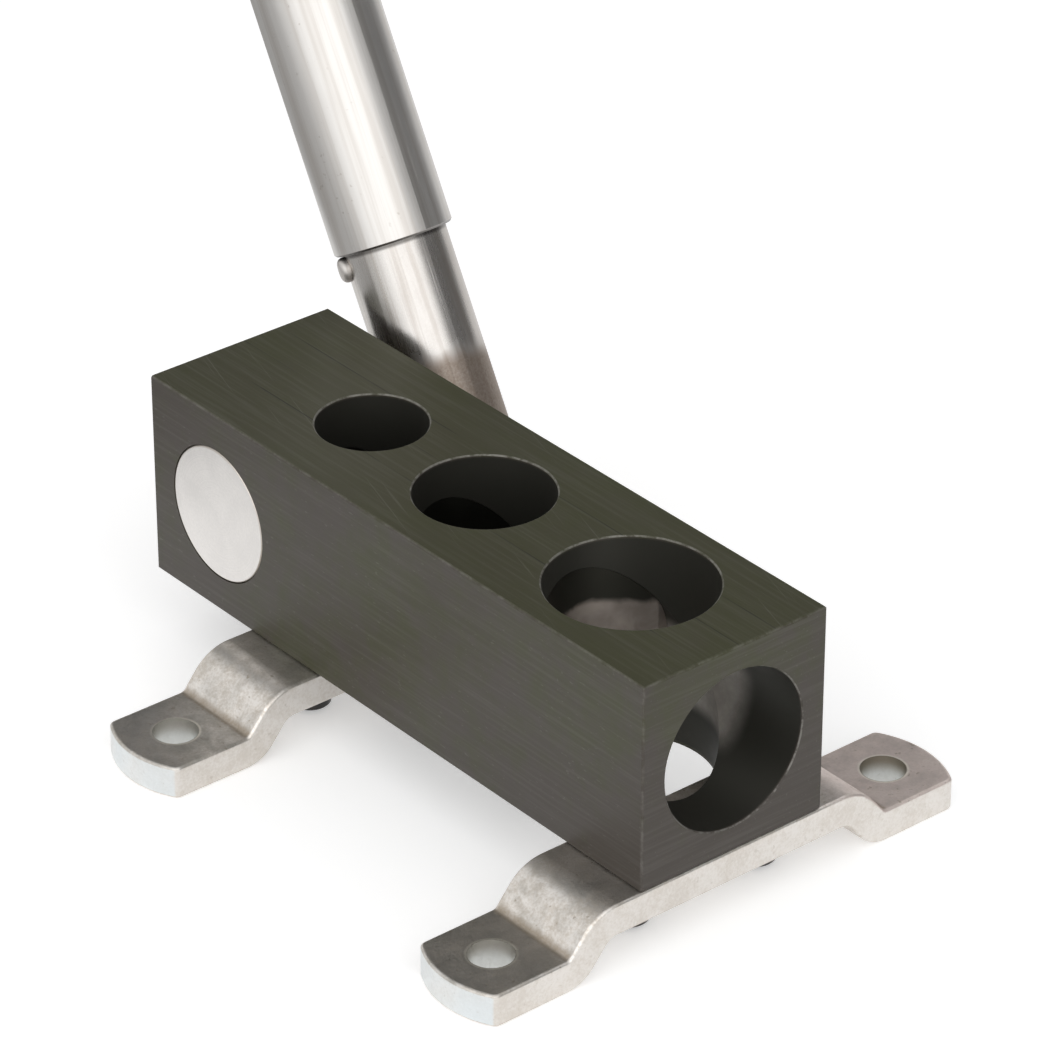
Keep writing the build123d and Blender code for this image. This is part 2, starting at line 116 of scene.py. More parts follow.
class Shader:
    """Node tree of a material or of the world, with short ways to add nodes to it."""

    def __init__(self, owner):
        owner.use_nodes = True
        self.tree = owner.node_tree
        self.tree.nodes.clear()

    def node(self, kind, sockets=None, **settings):
        """Adds a node, sets it up, then fills or links its sockets by name or number."""
        made = self.tree.nodes.new(kind)
        for name, value in settings.items():
            setattr(made, name, value)
        for key, value in (sockets or {}).items():
            self.fill(made.inputs[key], value)
        return made

    def fill(self, target, value):
        """Links a socket to another one, or gives it a constant."""
        if isinstance(value, Number):
            value = value.socket
        if isinstance(value, bpy.types.NodeSocket):
            self.tree.links.new(target, value)
        else:
            target.default_value = value

    def math(self, operation, *values):
        """Number that a Math node works out from one or two others."""
        made = self.node("ShaderNodeMath", dict(enumerate(values)), operation=operation)
        return Number(self, made.outputs[0])

    def larger(self, first, *others):
        """Largest of several numbers."""
        for other in others:
            first = self.math("MAXIMUM", first, other)
        return first

    def smaller(self, first, *others):
        """Smallest of several numbers."""
        for other in others:
            first = self.math("MINIMUM", first, other)
        return first

    def rise(self, value, low, high):
        """Smooth step from 0 at low to 1 at high."""
        sockets = {"Value": value, "From Min": low, "From Max": high}
        made = self.node("ShaderNodeMapRange", sockets, interpolation_type="SMOOTHSTEP")
        return Number(self, made.outputs["Result"])

    def fade(self, value, low, high):
        """Smooth step from 1 at low to 0 at high."""
        return 1 - self.rise(value, low, high)

    def point(self):
        """Place on the piece."""
        return self.node("ShaderNodeTexCoord").outputs["Object"]

    def normal(self):
        """Direction that the surface faces."""
        return self.node("ShaderNodeTexCoord").outputs["Normal"]

    def parts(self, vector):
        """X, Y and Z of a vector, as numbers."""
        split = self.node("ShaderNodeSeparateXYZ", {"Vector": vector}).outputs
        return [Number(self, part) for part in split]

    def noise(self, point, scale, detail=2.0, roughness=0.5, distortion=0.0):
        """Noise from 0 to 1, with so many marks a metre."""
        sockets = {
            "Vector": point,
            "Scale": scale,
            "Detail": detail,
            "Roughness": roughness,
            "Distortion": distortion,
        }
        return Number(self, self.node("ShaderNodeTexNoise", sockets).outputs[0])

    def streaks(self, point, marks, turn=(0.0, 0.0, 0.0), **texture):
        """Noise with its own number of marks a metre along X, Y and Z, after a turn."""
        turned = self.node("ShaderNodeMapping", {"Vector": point, "Rotation": turn}).outputs["Vector"]
        drawn = self.node("ShaderNodeMapping", {"Vector": turned, "Scale": marks}).outputs["Vector"]
        return self.noise(drawn, 1.0, **texture)

    def scratches(self, point, marks, turn):
        """Mask of a few long scratches."""
        return self.rise(self.streaks(point, marks, turn, detail=1.0, roughness=0.4), 0.7, 0.76)

    def ridges(self, distance, per_metre, detail):
        """Noise along one number, such as a radius."""
        sockets = {"W": distance, "Scale": per_metre, "Detail": detail}
        made = self.node("ShaderNodeTexNoise", sockets, noise_dimensions="1D")
        return Number(self, made.outputs[0])

    def mix(self, factor, first, second):
        """Colour between two colours."""
        linked = bpy.types.NodeSocket
        ends = [end if isinstance(end, linked) else (*end, 1.0) for end in (first, second)]
        sockets = {0: factor, 6: ends[0], 7: ends[1]}
        return self.node("ShaderNodeMix", sockets, data_type="RGBA").outputs[2]

    def bump(self, height, depth):
        """Normal of a surface with this height pattern, whose full depth is in metres."""
        sockets = {"Height": height, "Distance": depth, "Strength": 1.0}
        return self.node("ShaderNodeBump", sockets).outputs["Normal"]

    def surface(self, sockets):
        """Ends the tree in a Principled surface."""
        made = self.node("ShaderNodeBsdfPrincipled", sockets)
        self.node("ShaderNodeOutputMaterial", {"Surface": made.outputs[0]})


def colour_property(name, description, default):
    """Colour that a user can change."""
    return FloatVectorProperty(
        name=name, description=description, default=default, subtype="COLOR", size=3, min=0.0, max=1.0
    )


def share_property(name, description, default):
    """Share from 0 to 1 that a user can change."""
    return FloatProperty(
        name=name, description=description, default=default, subtype="FACTOR", min=0.0, max=1.0
    )


def length_property(name, description, default):
    """Length in metres that a user can change."""
    return FloatProperty(
        name=name, description=description, default=default, subtype="DISTANCE", unit="LENGTH"
    )


def angle_property(name, description, degrees):
    """Angle that a user can change, given in degrees."""
    return FloatProperty(
        name=name,
        description=description,
        default=math.radians(degrees),
        subtype="ANGLE",
        unit="ROTATION",
    )


class NotcherFinishes(PropertyGroup):
    """Colours and textures of the notcher's pieces."""

    oxide: colour_property("Oxide", "Black oxide of the block", (0.046, 0.047, 0.022))
    oxide_warm: colour_property("Oxide tint", "Browner patches of the oxide", (0.053, 0.0445, 0.037))
    oxide_roughness: share_property("Oxide roughness", "Roughness of the block's faces", 0.42)
    oxide_gloss: share_property("Oxide gloss", "Specular level of the block's faces", 0.3)
    bore_black: colour_property("Bore black", "Oily black inside the holes", (0.042, 0.041, 0.034))
    scribed: colour_property("Scribed lines", "Black of the layout lines", (0.012, 0.012, 0.009))
    # Painted light: pale patch on the far wall of the largest tube hole.
    painted_light_wall: colour_property("Burnish", "Wall that the largest tubes rub against", (0.52, 0.49, 0.45))
    bare: colour_property("Bare steel", "Steel where the oxide has worn through", (0.46, 0.45, 0.42))
    wear: share_property("Wear", "How far the oxide has worn off the outer edges", 0.14)
    wear_width: length_property("Wear width", "Width of the worn line along an arris", 0.65 * MM)
    rim_wear: share_property("Rim wear", "How far the oxide has worn off the holes' rims", 0.3)
    rim_width: length_property("Rim width", "Width of the bevel round each tube hole", 0.3 * MM)
    scribe_width: length_property("Scribed line", "Width of the layout lines on the top", 0.25 * MM)
    ground: colour_property("Ground steel", "Faced and ground steel", (0.83, 0.805, 0.78))
    ground_roughness: share_property("Ground roughness", "Roughness of the ground steel", 0.42)
    # Bare steel of the shearing face, shown only on its lower part as painted light.
    nose: colour_property("Ram nose", "Bare shearing face of the ram", (0.42, 0.37, 0.33))
    ram_roughness: share_property("Ram roughness", "Roughness of the ram", 0.48)
    drawn: colour_property("Drawn steel", "Bright drawn bar and tube", (0.62, 0.605, 0.585))
    drawn_shade: colour_property("Drawn streaks", "Darker streaks along the bar", (0.42, 0.385, 0.35))
    drawn_roughness: share_property("Drawn roughness", "Roughness of the bar and tube", 0.22)
    tarnish: colour_property("Tarnish", "Browned steel at the foot of the lever bar", (0.19, 0.138, 0.1))
    # Painted shadow: dark ring on the bar just under the tube's end.
    seat_shadow: colour_property("Seat black", "Ring where the tube's end sits", (0.06, 0.055, 0.05))
    zinc: colour_property("Zinc", "Plated straps", (0.73, 0.7, 0.665))
    zinc_dull: colour_property("Dull zinc", "Dull patches of the plating", (0.56, 0.51, 0.45))
    zinc_blue: colour_property("Blue zinc", "Bluish plating on the straps' ends", (0.68, 0.75, 0.79))
    zinc_pink: colour_property("Pink zinc", "Warm plating on the lever's side", (0.68, 0.585, 0.55))
    zinc_hole: colour_property("Hole zinc", "Clean plating inside the bolt holes", (0.72, 0.76, 0.76))
    # Painted highlight: bright ring round each bolt hole's rim.
    painted_rim_highlight: colour_property("Rim zinc", "Bright rims of the bolt holes", (0.85, 0.82, 0.74))
    zinc_grime: colour_property("Pad grime", "Grey grime on the end pads", (0.3, 0.295, 0.275))
    # Brown for dirt in the pores, for the darker lines along the creases and the turned pieces' rim lines, and for
    # painted shade at the top of the bolt holes' walls.
    brown_dirt_and_shade: colour_property("Strap dirt", "Brown dirt in the pores and creases", (0.25, 0.2, 0.14))
    zinc_roughness: share_property("Zinc roughness", "Roughness of the plated straps", 0.36)
    screw_black: colour_property("Screw black", "Black oxide of the screws", (0.018, 0.018, 0.018))
    screw_roughness: share_property("Screw roughness", "Roughness of the screws", 0.36)
    plug_black: colour_property("Plug black", "Plastic of the handle's end plug", (0.014, 0.014, 0.014))
    plug_roughness: share_property("Plug roughness", "Roughness of the end plug", 0.52)


class NotcherStudio(PropertyGroup):
    """Floor, light and camera."""

    floor_size: length_property("Floor size", "Side of the floor", 8.0)
    floor: colour_property("Floor", "Pale floor", (0.86, 0.86, 0.86))
    floor_glow: share_property("Floor glow", "What the floor shows beyond the light on it", 0.36)
    sky: share_property("Sky", "Strength of the even light from all round", 0.66)
    key_power: FloatProperty(
        name="Key power", description="Power of the softbox", default=25.0, unit="POWER"
    )
    key_width: length_property("Key width", "Width of the softbox", 4.2)
    key_height: length_property("Key height", "Height of the softbox", 2.1)
    key_distance: length_property("Key distance", "From the softbox to the block", 1.9)
    key_azimuth: angle_property("Key azimuth", "Turn of the softbox from the block's near side", 44.0)
    key_elevation: angle_property("Key elevation", "Height of the softbox above the horizon", 37.0)
    side_flag: share_property("Side flag", "Grey of the card beside the handle", 0.2)
    roof_flag: share_property("Roof flag", "Grey of the card above the far side", 0.04)
    floor_flag: share_property("Floor flag", "Grey of the card on the floor", 0.58)
    aim: FloatVectorProperty(
        name="Aim",
        description="Point that the camera looks at",
        default=(-0.02254, 0.01783, 0.04868),
        subtype="XYZ",
        unit="LENGTH",
    )
    azimuth: angle_property("Azimuth", "Turn of the camera from the block's near side", 50.549)
    elevation: angle_property("Elevation", "Height of the camera above the horizon", 30.548)
    distance: length_property("Distance", "From the camera to its aim", 1.19379)
    lens: FloatProperty(
        name="Lens", description="Focal length in millimetres", default=184.54, unit="CAMERA"
    )


def finishes():
    """The user's colours and textures."""
    return bpy.context.scene.notcher_finishes


def studio():
    """The user's floor, light and camera."""
    return bpy.context.scene.notcher_studio


def new_finish(name):
    """New material and its shader."""
    material = bpy.data.materials.new(name)
    return material, Shader(material)


def toned(colour, share):
    """Colour made darker or paler."""
    return tuple(min(1.0, share * part) for part in colour)


def dress(material, *nodes):
    """Gives CAD nodes a finish."""
    for node in nodes:
        mesh = frame["nodes"][node].data
        mesh.materials.clear()
        mesh.materials.append(material)


def block_depth(place):
    """Distances of a point of the block from its nearest end, side and top or bottom."""
    centre = (BLOCK_LOW + BLOCK_HIGH) / 2
    half = (BLOCK_HIGH - BLOCK_LOW) / 2
    return [half[axis] - abs(place[axis] - centre[axis]) for axis in range(3)]


def arris(shader, depth, width):
    """Mask of the block's outer edges, where two of the distances are small."""
    near = [shader.fade(part, 0.35 * width, width) for part in depth]
    return shader.larger(near[0] * near[1], near[1] * near[2], near[2] * near[0])


def hole_rims(shader, place, width):
    """Mask of the bevels round the tube holes and the front bore."""
    x, y, z = place
    top = shader.rise(z, BLOCK_HIGH.z - 1.2 * width, BLOCK_HIGH.z - width)
    rims = []
    for name in TUBE_HOLES:
        mount = MOUNTS[name]
        radius = mount["dims"]["r_mm"] * MM
        from_axis = ((x - mount["pos_m"][0]) ** 2 + y**2) ** 0.5
        rims.append(top * shader.fade(from_axis, radius + width, radius + 1.2 * width))
    bore_radius = RAM_HIGH.y
    from_axis = (y**2 + (z - SHAFT_AT.z) ** 2) ** 0.5
    front = shader.rise(x, BLOCK_HIGH.x - 1.2 * width, BLOCK_HIGH.x - width)
    rims.append(front * shader.fade(from_axis, bore_radius + width, bore_radius + 1.3 * width))
    return shader.larger(*rims)


def painted_light_patch(shader, place):
    """Mask of the painted light on the far wall of the largest tube hole, above the slug's way out."""
    x, y, z = place
    hole = MOUNTS["large_tube_hole"]
    radius = hole["dims"]["r_mm"] * MM
    from_front = x - (hole["pos_m"][0] + radius)
    from_axis = z - SHAFT_AT.z
    beside = shader.rise(y, 0.4 * radius, 0.7 * radius) * shader.fade(from_front, *LIT_PATCH_FRONT)
    return beside * shader.rise(from_axis, *LIT_PATCH_LOW) * shader.fade(from_axis, *LIT_PATCH_HIGH)


def scribed_lines(shader, place, width):
    """Mask of the layout lines along the block's top."""
    on_top = shader.fade(BLOCK_HIGH.z - place[2], *SCRIBED_DEPTH)
    lines = [shader.fade(abs(place[1] - line_y), 0.3 * width, width) for line_y in SCRIBED_AT]
    return on_top * shader.larger(*lines)


def black_oxide():
    """Black oxide on ground steel, thin along its edges and oily in its bores, with painted light on the far wall
    of the largest tube hole.
    """
    look = finishes()
    material, shader = new_finish("black_oxide")
    point = shader.point()
    place = shader.parts(point)
    depth = block_depth(place)
    inside = shader.rise(shader.smaller(*depth), *BORE_DEPTH)
    ends = shader.fade(depth[0], *FACE_DEPTH)
    top = shader.fade(BLOCK_HIGH.z - place[2], *FACE_DEPTH)

    lengthwise = shader.streaks(point, (34.0, 1300.0, 1300.0), detail=3.0, roughness=0.6)
    crosswise = shader.streaks(point, (1300.0, 34.0, 1300.0), detail=3.0, roughness=0.6)
    grinding = lengthwise * (1 - ends) + crosswise * ends
    clouds = shader.noise(point, 24.0, detail=4.0, roughness=0.55, distortion=0.4)
    grain = shader.noise(point, 1100.0, detail=3.0, roughness=0.6)
    smears = shader.streaks(point, (30.0, 80.0, 80.0), detail=3.0, roughness=0.55, distortion=0.8)
    scratches = shader.scratches(point, (28.0, 1900.0, 1900.0), (0.0, 0.0, math.radians(17.0)))
    patches = shader.noise(point, 300.0, detail=4.0, roughness=0.7)
    mottle = shader.noise(point, 190.0, detail=3.0, roughness=0.6)

    worn_edge = arris(shader, depth, look.wear_width) * shader.rise(patches, 0.35, 0.7) * look.wear
    worn_rim = hole_rims(shader, place, look.rim_width) * shader.rise(patches, 0.38, 0.6) * look.rim_wear
    wear = shader.larger(worn_edge, worn_rim)
    scribed = scribed_lines(shader, place, look.scribe_width) * shader.rise(smears, 0.4, 0.6)

    warmth = shader.rise(0.65 * clouds + 0.35 * mottle, 0.32, 0.58) * (1 - 0.75 * top)
    tint = shader.mix(warmth, look.oxide, look.oxide_warm)
    ground_lines = shader.mix(shader.rise(grinding, 0.4, 0.8) * 0.05 + scratches * 0.06, tint, look.bare)
    oxide = shader.mix(scribed * 0.8, ground_lines, look.scribed)
    outer = shader.mix(wear, oxide, look.bare)
    # Painted light: a pale patch on the far wall of the largest tube hole.
    lit_patch = inside * painted_light_patch(shader, place) * (0.7 + 0.6 * (patches - 0.5))
    walls_and_painted_light = shader.mix(lit_patch, look.bore_black, look.painted_light_wall)
    height = 0.5 * grinding + 0.5 * grain - 2.5 * scribed - 0.6 * scratches
    shader.surface(
        {
            "Base Color": shader.mix(inside, outer, walls_and_painted_light),
            "Metallic": shader.larger(wear, 0.55 * inside),
            "Specular IOR Level": look.oxide_gloss,
            "Roughness": look.oxide_roughness
            + 0.14 * (smears - 0.5)
            + 0.06 * (grinding - 0.5)
            + 0.08 * inside,
            "Normal": shader.bump(height, 0.007 * MM),
        }
    )
    return material


def radius_about(place, axis_point, axis):
    """Distance of a point from an axis along X, Y or Z."""
    across = [index for index in range(3) if index != axis]
    offsets = [place[index] - axis_point[index] for index in across]
    return (offsets[0] ** 2 + offsets[1] ** 2) ** 0.5


def ground_steel(name, axis_point, axis, rim_radius):
    """Turned and ground steel, with fine rings round an axis and a brown line at its rim."""
    look = finishes()
    material, shader = new_finish(name)
    point = shader.point()
    radius = radius_about(shader.parts(point), axis_point, axis)

    rings = shader.ridges(radius, 5200.0, detail=3.0)
    coarse = shader.ridges(radius, 900.0, detail=1.0)
    clouds = shader.noise(point, 90.0, detail=3.0, roughness=0.55, distortion=0.5)
    specks = shader.noise(point, 1500.0, roughness=0.6)
    brown = shader.rise(radius - rim_radius + 0.3 * MM * (clouds - 0.5), *TURNED_RIM)
    tone = shader.rise(0.5 * clouds + 0.25 * rings + 0.25 * specks, 0.35, 0.7)
    ground = shader.mix(tone, toned(look.ground, 0.86), look.ground)
    shader.surface(
        {
            "Base Color": shader.mix(brown * 0.6, ground, look.brown_dirt_and_shade),
            "Metallic": 1.0,
            "Roughness": look.ground_roughness + 0.12 * (clouds - 0.5) + 0.08 * (coarse - 0.5),
            "Normal": shader.bump(0.7 * rings + 0.3 * coarse, 0.005 * MM),
        }
    )
    return material


def ram_steel():
    """Blackened ram whose shearing face is bare steel, shown only on its lower part as painted light."""
    look = finishes()
    material, shader = new_finish("ram_steel")
    point = shader.point()
    place = shader.parts(point)

    rings = shader.ridges(radius_about(place, SHAFT_AT, 0), 2600.0, detail=2.0)
    clouds = shader.noise(point, 120.0, detail=3.0, roughness=0.55, distortion=0.5)
    streaks = shader.streaks(point, (900.0, 900.0, 60.0), detail=3.0, roughness=0.6)
    face = shader.rise(place[0] - RAM_HIGH.x, *NOSE_BACK)
    # The bare colour stops at a set height: painted light on the lower part of the shearing face, the upper part
    # left black.
    bare = face * shader.fade(place[2] - SHAFT_AT.z + 3.0 * MM * (clouds - 0.5), *NOSE_LIT_HEIGHT)
    nose = shader.mix(shader.rise(clouds, 0.35, 0.7), look.nose, toned(look.nose, 0.7))
    shader.surface(
        {
            "Base Color": shader.mix(bare, look.bore_black, nose),
            "Metallic": 1.0,
            "Roughness": look.ram_roughness + 0.15 * (clouds - 0.5) + 0.08 * (streaks - 0.5),
            "Normal": shader.bump(0.5 * rings + 0.5 * streaks, 0.006 * MM),
        }
    )
    return material


def drawn_steel(name, roughness_gain, streak_gain, browning):
    """Bright drawn steel with streaks along the lever, and a painted shadow ring on the bar where the tube's end
    sits.
    """
    look = finishes()
    material, shader = new_finish(name)
    point = shader.point()
    place = shader.parts(point)
    lean = math.atan2(LEVER_AXIS.x, LEVER_AXIS.z)
    upright = (0.0, -lean, 0.0)
    askew = (0.0, -lean, math.radians(24.0))
    up_bar = (place[0] - SHAFT_AT.x) * LEVER_AXIS.x + (place[2] - SHAFT_AT.z) * LEVER_AXIS.z
    tube = frame["nodes"]["handle_tube"].data.vertices
    seat = min((vertex.co - SHAFT_AT).dot(LEVER_AXIS) for vertex in tube)
    from_seat = up_bar - seat

    fine = shader.streaks(point, (1500.0, 1500.0, 14.0), upright, detail=3.0, roughness=0.6)
    broad = shader.streaks(point, (380.0, 380.0, 6.0), upright, detail=3.0, roughness=0.55)
    smears = shader.streaks(
        point, (70.0, 70.0, 22.0), upright, detail=4.0, roughness=0.6, distortion=0.7
    )
    scuffs = shader.noise(point, 1500.0, detail=3.0, roughness=0.7)
    spots = shader.noise(point, 650.0, detail=3.0, roughness=0.6)
    specks = shader.rise(spots, 0.64, 0.72) * shader.rise(smears, 0.42, 0.62)
    scratches = shader.scratches(point, (1700.0, 1700.0, 30.0), askew)

    shade = shader.rise(broad + 0.4 * (fine - 0.5), 0.42, 0.68) * streak_gain
    ragged = 9.0 * MM * (smears - 0.5) + 2.0 * MM * (scuffs - 0.5)
    foot = shader.fade(up_bar + ragged, *TARNISH_HEIGHT)
    # Painted shadow ring on the bar under the tube's end.
    seat_shadow_ring = shader.rise(from_seat, *SEAT_SHADOW_LOW) * shader.fade(from_seat, *SEAT_SHADOW_HIGH)
    tone = shader.mix(shade, look.drawn, look.drawn_shade)
    rusty = shader.larger(foot, (0.4 + 0.6 * shader.rise(smears, 0.4, 0.75)) * browning, specks * 0.5)
    browned = shader.mix(rusty * (0.8 + 0.5 * (scuffs - 0.5)), tone, look.tarnish)
    height = 0.5 * fine + 0.5 * broad + 0.6 * scuffs * foot - scratches
    shader.surface(
        {
            "Base Color": shader.mix(seat_shadow_ring * 0.75, browned, look.seat_shadow),
            "Metallic": 1.0,
            "Roughness": look.drawn_roughness * roughness_gain
            + 0.12 * (smears - 0.45)
            + 0.12 * (fine - 0.5)
            + 0.1 * scratches
            + 0.2 * foot,
            "Normal": shader.bump(height, 0.008 * MM),
        }
    )
    return material


def strap_marks(shader, place):
    """Masks of the straps' creases, their end pads, and their bolt holes' painted highlight rims and walls."""
    x, y, z = place
    bolts = MOUNTS["bench_bolts"]["dims"]
    pad_x = abs(x) - bolts["spacing_x_mm"] / 2 * MM
    pad_y = abs(y) - bolts["spacing_y_mm"] / 2 * MM
    from_side = abs(pad_x) - (FOOT_HIGH.x - FOOT_LOW.x) / 2
    from_crease = pad_y + CREASE_FROM_BOLT
    from_rim = (pad_x**2 + pad_y**2) ** 0.5 - bolts["hole_r_mm"] * MM
    across = shader.fade(from_side, *STRAP_SIDE) * shader.rise(z, *CREASE_HEIGHT)
    crease = across * shader.fade(abs(from_crease), *CREASE_WIDTH)
    wall = shader.fade(from_rim, *HOLE_WALL)
    rim_highlight = shader.fade(from_rim, *HOLE_RIM_HIGHLIGHT) * (1 - wall)
    pad = shader.rise(from_crease, *PAD_START) * (1 - wall)
    return crease, pad, rim_highlight, wall


def plated_zinc():
    """Zinc-plated flat bar with a fine sandy skin, darker brown lines along its creases, painted highlight rings
    round the bolt holes, painted shade high in the holes and painted sheen on its upright sides.
    """
    look = finishes()
    material, shader = new_finish("plated_zinc")
    point = shader.point()
    place = shader.parts(point)
    normal = shader.parts(shader.normal())
    crease, pad, rim_highlight, wall = strap_marks(shader, place)
    upright = shader.fade(abs(normal[2]), 0.2, 0.45)
    facing_up = shader.rise(normal[2], 0.2, 0.45)
    ends = upright * pad * shader.rise(abs(normal[1]), 0.6, 0.85)
    far = shader.rise(place[1], *LEVER_SIDE)
    crest = shader.rise(place[2] - FOOT_HIGH.z, *STRAP_CREST)
    # Painted shade: darker upper part of the bolt holes' walls, more on the lever's side.
    hole_shade = wall * shader.rise(place[2], *HOLE_SHADE_HEIGHT) * (0.55 + 0.3 * far)

    sand = shader.noise(point, 1500.0, detail=3.0, roughness=0.65)
    mottle = shader.noise(point, 330.0, detail=4.0, roughness=0.6, distortion=0.3)
    clouds = shader.noise(point, 60.0, detail=3.0, distortion=0.3)
    pits = shader.rise(shader.noise(point, 800.0), 0.66, 0.74)
    blotches = shader.noise(point, 170.0, detail=3.0, roughness=0.55, distortion=0.5)

    # Dull patches, fewer on upright faces: the straps' sides are painted lighter, a painted sheen.
    dull_and_side_sheen = shader.rise(0.35 * mottle + 0.25 * clouds + 0.4 * sand, 0.38, 0.62) * (1 - 0.45 * upright)
    tone = shader.mix(dull_and_side_sheen, look.zinc, look.zinc_dull)
    tinted = shader.mix(ends * clouds, tone, look.zinc_blue)
    warmed = shader.mix(far * facing_up * (0.8 + 0.8 * (blotches - 0.5)), tinted, look.zinc_pink)
    clean = shader.mix(wall * 0.6, warmed, look.zinc_hole)
    level = 0.12 + 0.28 * pad + 0.18 * crest - 0.32 * far
    grime = facing_up * (1 - wall) * (level + 1.1 * (blotches - 0.5) + 0.7 * (mottle - 0.5))
    grimy = shader.mix(grime, clean, look.zinc_grime)
    # Pores and crease lines darker brown, with painted shade at the top of the hole walls.
    dirt_and_shade = shader.larger(crease * 0.65, pits * 0.5 * (1 - 0.65 * upright), hole_shade)
    soiled_and_shaded = shader.mix(dirt_and_shade, grimy, look.brown_dirt_and_shade)
    height = (1 - 0.75 * upright) * (0.5 * mottle + 0.5 * sand - 0.5 * pits)
    shader.surface(
        {
            # Painted highlight ring round each bolt hole.
            "Base Color": shader.mix(rim_highlight * 0.6, soiled_and_shaded, look.painted_rim_highlight),
            "Metallic": 1.0,
            "Roughness": look.zinc_roughness
            + 0.12 * dull_and_side_sheen
            + 0.12 * (sand - 0.5)
            + 0.1 * crease
            + 0.14 * far * facing_up,
            "Normal": shader.bump(height, 0.035 * MM),
        }
    )
    return material


def screw_oxide():
    """Oiled black oxide of the screws."""
    look = finishes()
    material, shader = new_finish("screw_oxide")
    point = shader.point()
    grain = shader.noise(point, 1200.0)
    clouds = shader.noise(point, 240.0, detail=3.0)
    shader.surface(
        {
            "Base Color": shader.mix(shader.rise(clouds, 0.45, 0.7), look.screw_black, look.oxide_warm),
            "Roughness": look.screw_roughness + 0.2 * (clouds - 0.5),
            "Normal": shader.bump(grain, 0.012 * MM),
        }
    )
    return material


def plug_plastic():
    """Moulded black plastic with a fine grain."""
    look = finishes()
    material, shader = new_finish("plug_plastic")
    point = shader.point()
    grain = shader.noise(point, 1600.0)
    scuffs = shader.noise(point, 160.0, detail=4.0, roughness=0.6)
    dusty = toned(look.plug_black, 2.2)
    shader.surface(
        {
            "Base Color": shader.mix(shader.rise(scuffs, 0.5, 0.75), look.plug_black, dusty),
            "Roughness": look.plug_roughness + 0.18 * (scuffs - 0.5),
            "Normal": shader.bump(grain, 0.02 * MM),
        }
    )
    return material


class NOTCHER_OT_block(Operator):
    """Finish the bored block and its rear plug in worn black oxide"""

    bl_idname = "notcher.block"
    bl_label = "Block"

    def execute(self, context):
        dress(black_oxide(), "body_block", "rear_plug")
        return {"FINISHED"}


class NOTCHER_OT_drive(Operator):
    """Finish the ram, the crank and its roller in turned and ground steel"""

    bl_idname = "notcher.drive"
    bl_label = "Ram and crank"

    def execute(self, context):
        disc_low, disc_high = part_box("crank_end_disc")
        disc_radius = (disc_high.x - disc_low.x) / 2
        dress(ground_steel("faced_steel", SHAFT_AT, 1, disc_radius), "crank_end_disc", "crank_shaft")
        dress(ram_steel(), "ram")
        roller_low, roller_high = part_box("drive_roller")
        roller_radius = (roller_high.x - roller_low.x) / 2
        pin = JOINTS["roller_spin"]["pos_m"]
        dress(ground_steel("ground_roller", pin, 1, roller_radius), "drive_roller", "crank_dowel")
        return {"FINISHED"}


class NOTCHER_OT_lever(Operator):
    """Finish the lever bar and its stop pin in drawn steel"""

    bl_idname = "notcher.lever"
    bl_label = "Lever bar"

    def execute(self, context):
        bar = drawn_steel("drawn_bar", roughness_gain=1.2, streak_gain=0.5, browning=0.45)
        dress(bar, "lever_bar")
        pin = drawn_steel("dull_pin", roughness_gain=2.4, streak_gain=0.8, browning=0.6)
        dress(pin, "handle_stop_pin")
        return {"FINISHED"}


class NOTCHER_OT_handle(Operator):
    """Finish the handle tube in drawn steel and its end plug in plastic"""

    bl_idname = "notcher.handle"
    bl_label = "Handle"

    def execute(self, context):
        tube = drawn_steel("drawn_tube", roughness_gain=1.55, streak_gain=0.45, browning=0.12)
        dress(tube, "handle_tube")
        dress(plug_plastic(), "handle_end_plug")
        return {"FINISHED"}


class NOTCHER_OT_feet(Operator):
    """Finish the strap feet and their washers in zinc plating"""

    bl_idname = "notcher.feet"
    bl_label = "Strap feet"

    def execute(self, context):
        dress(plated_zinc(), "front_foot", "rear_foot", "front_foot_washers", "rear_foot_washers")
        return {"FINISHED"}


class NOTCHER_OT_screws(Operator):
    """Finish the screws in oiled black oxide"""

    bl_idname = "notcher.screws"
    bl_label = "Screws"

    def execute(self, context):
        dress(
            screw_oxide(),
            "front_foot_screws",
            "rear_foot_screws",
            "lever_screw",
            "shaft_keeper_screw",
            "ram_guide_screw",
        )
        return {"FINISHED"}


def outlook(azimuth, elevation):
    """Direction from the block towards a place round it, with azimuth 0 on its near side."""
    return Vector(
        (
            math.sin(azimuth) * math.cos(elevation),
            -math.cos(azimuth) * math.cos(elevation),
            math.sin(elevation),
        )
    )


def facing(direction):
    """Rotation of a camera or lamp that looks back along a direction, upright."""
    right = Vector((0.0, 0.0, 1.0)).cross(direction).normalized()
    return Matrix((right, direction.cross(right), direction)).transposed().to_4x4()


def shown_rays(shader):
    """1 for rays that show a surface as it is: straight, mirrored or through glass."""
    path = shader.node("ShaderNodeLightPath").outputs
    kinds = [Number(shader, path[f"Is {kind} Ray"]) for kind in ("Camera", "Glossy", "Transmission")]
    return shader.larger(*kinds)


def add_floor():
    """Pale floor that keeps the object's soft shadow."""
    setting = studio()
    bpy.ops.mesh.primitive_grid_add(x_subdivisions=8, y_subdivisions=8, size=setting.floor_size)
    floor = bpy.context.object
    floor.name = "studio_floor"
    material, shader = new_finish("studio_floor")
    clouds = shader.noise(shader.point(), 1.5)
    colour = shader.mix(clouds, setting.floor, toned(setting.floor, 1.03))
    matt = shader.node("ShaderNodeBsdfDiffuse", {"Color": colour})
    glow = shader.node("ShaderNodeEmission", {"Strength": shown_rays(shader) * setting.floor_glow})
    both = shader.node("ShaderNodeAddShader", {0: matt.outputs[0], 1: glow.outputs[0]})
    shader.node("ShaderNodeOutputMaterial", {"Surface": both.outputs[0]})
    floor.data.materials.append(material)


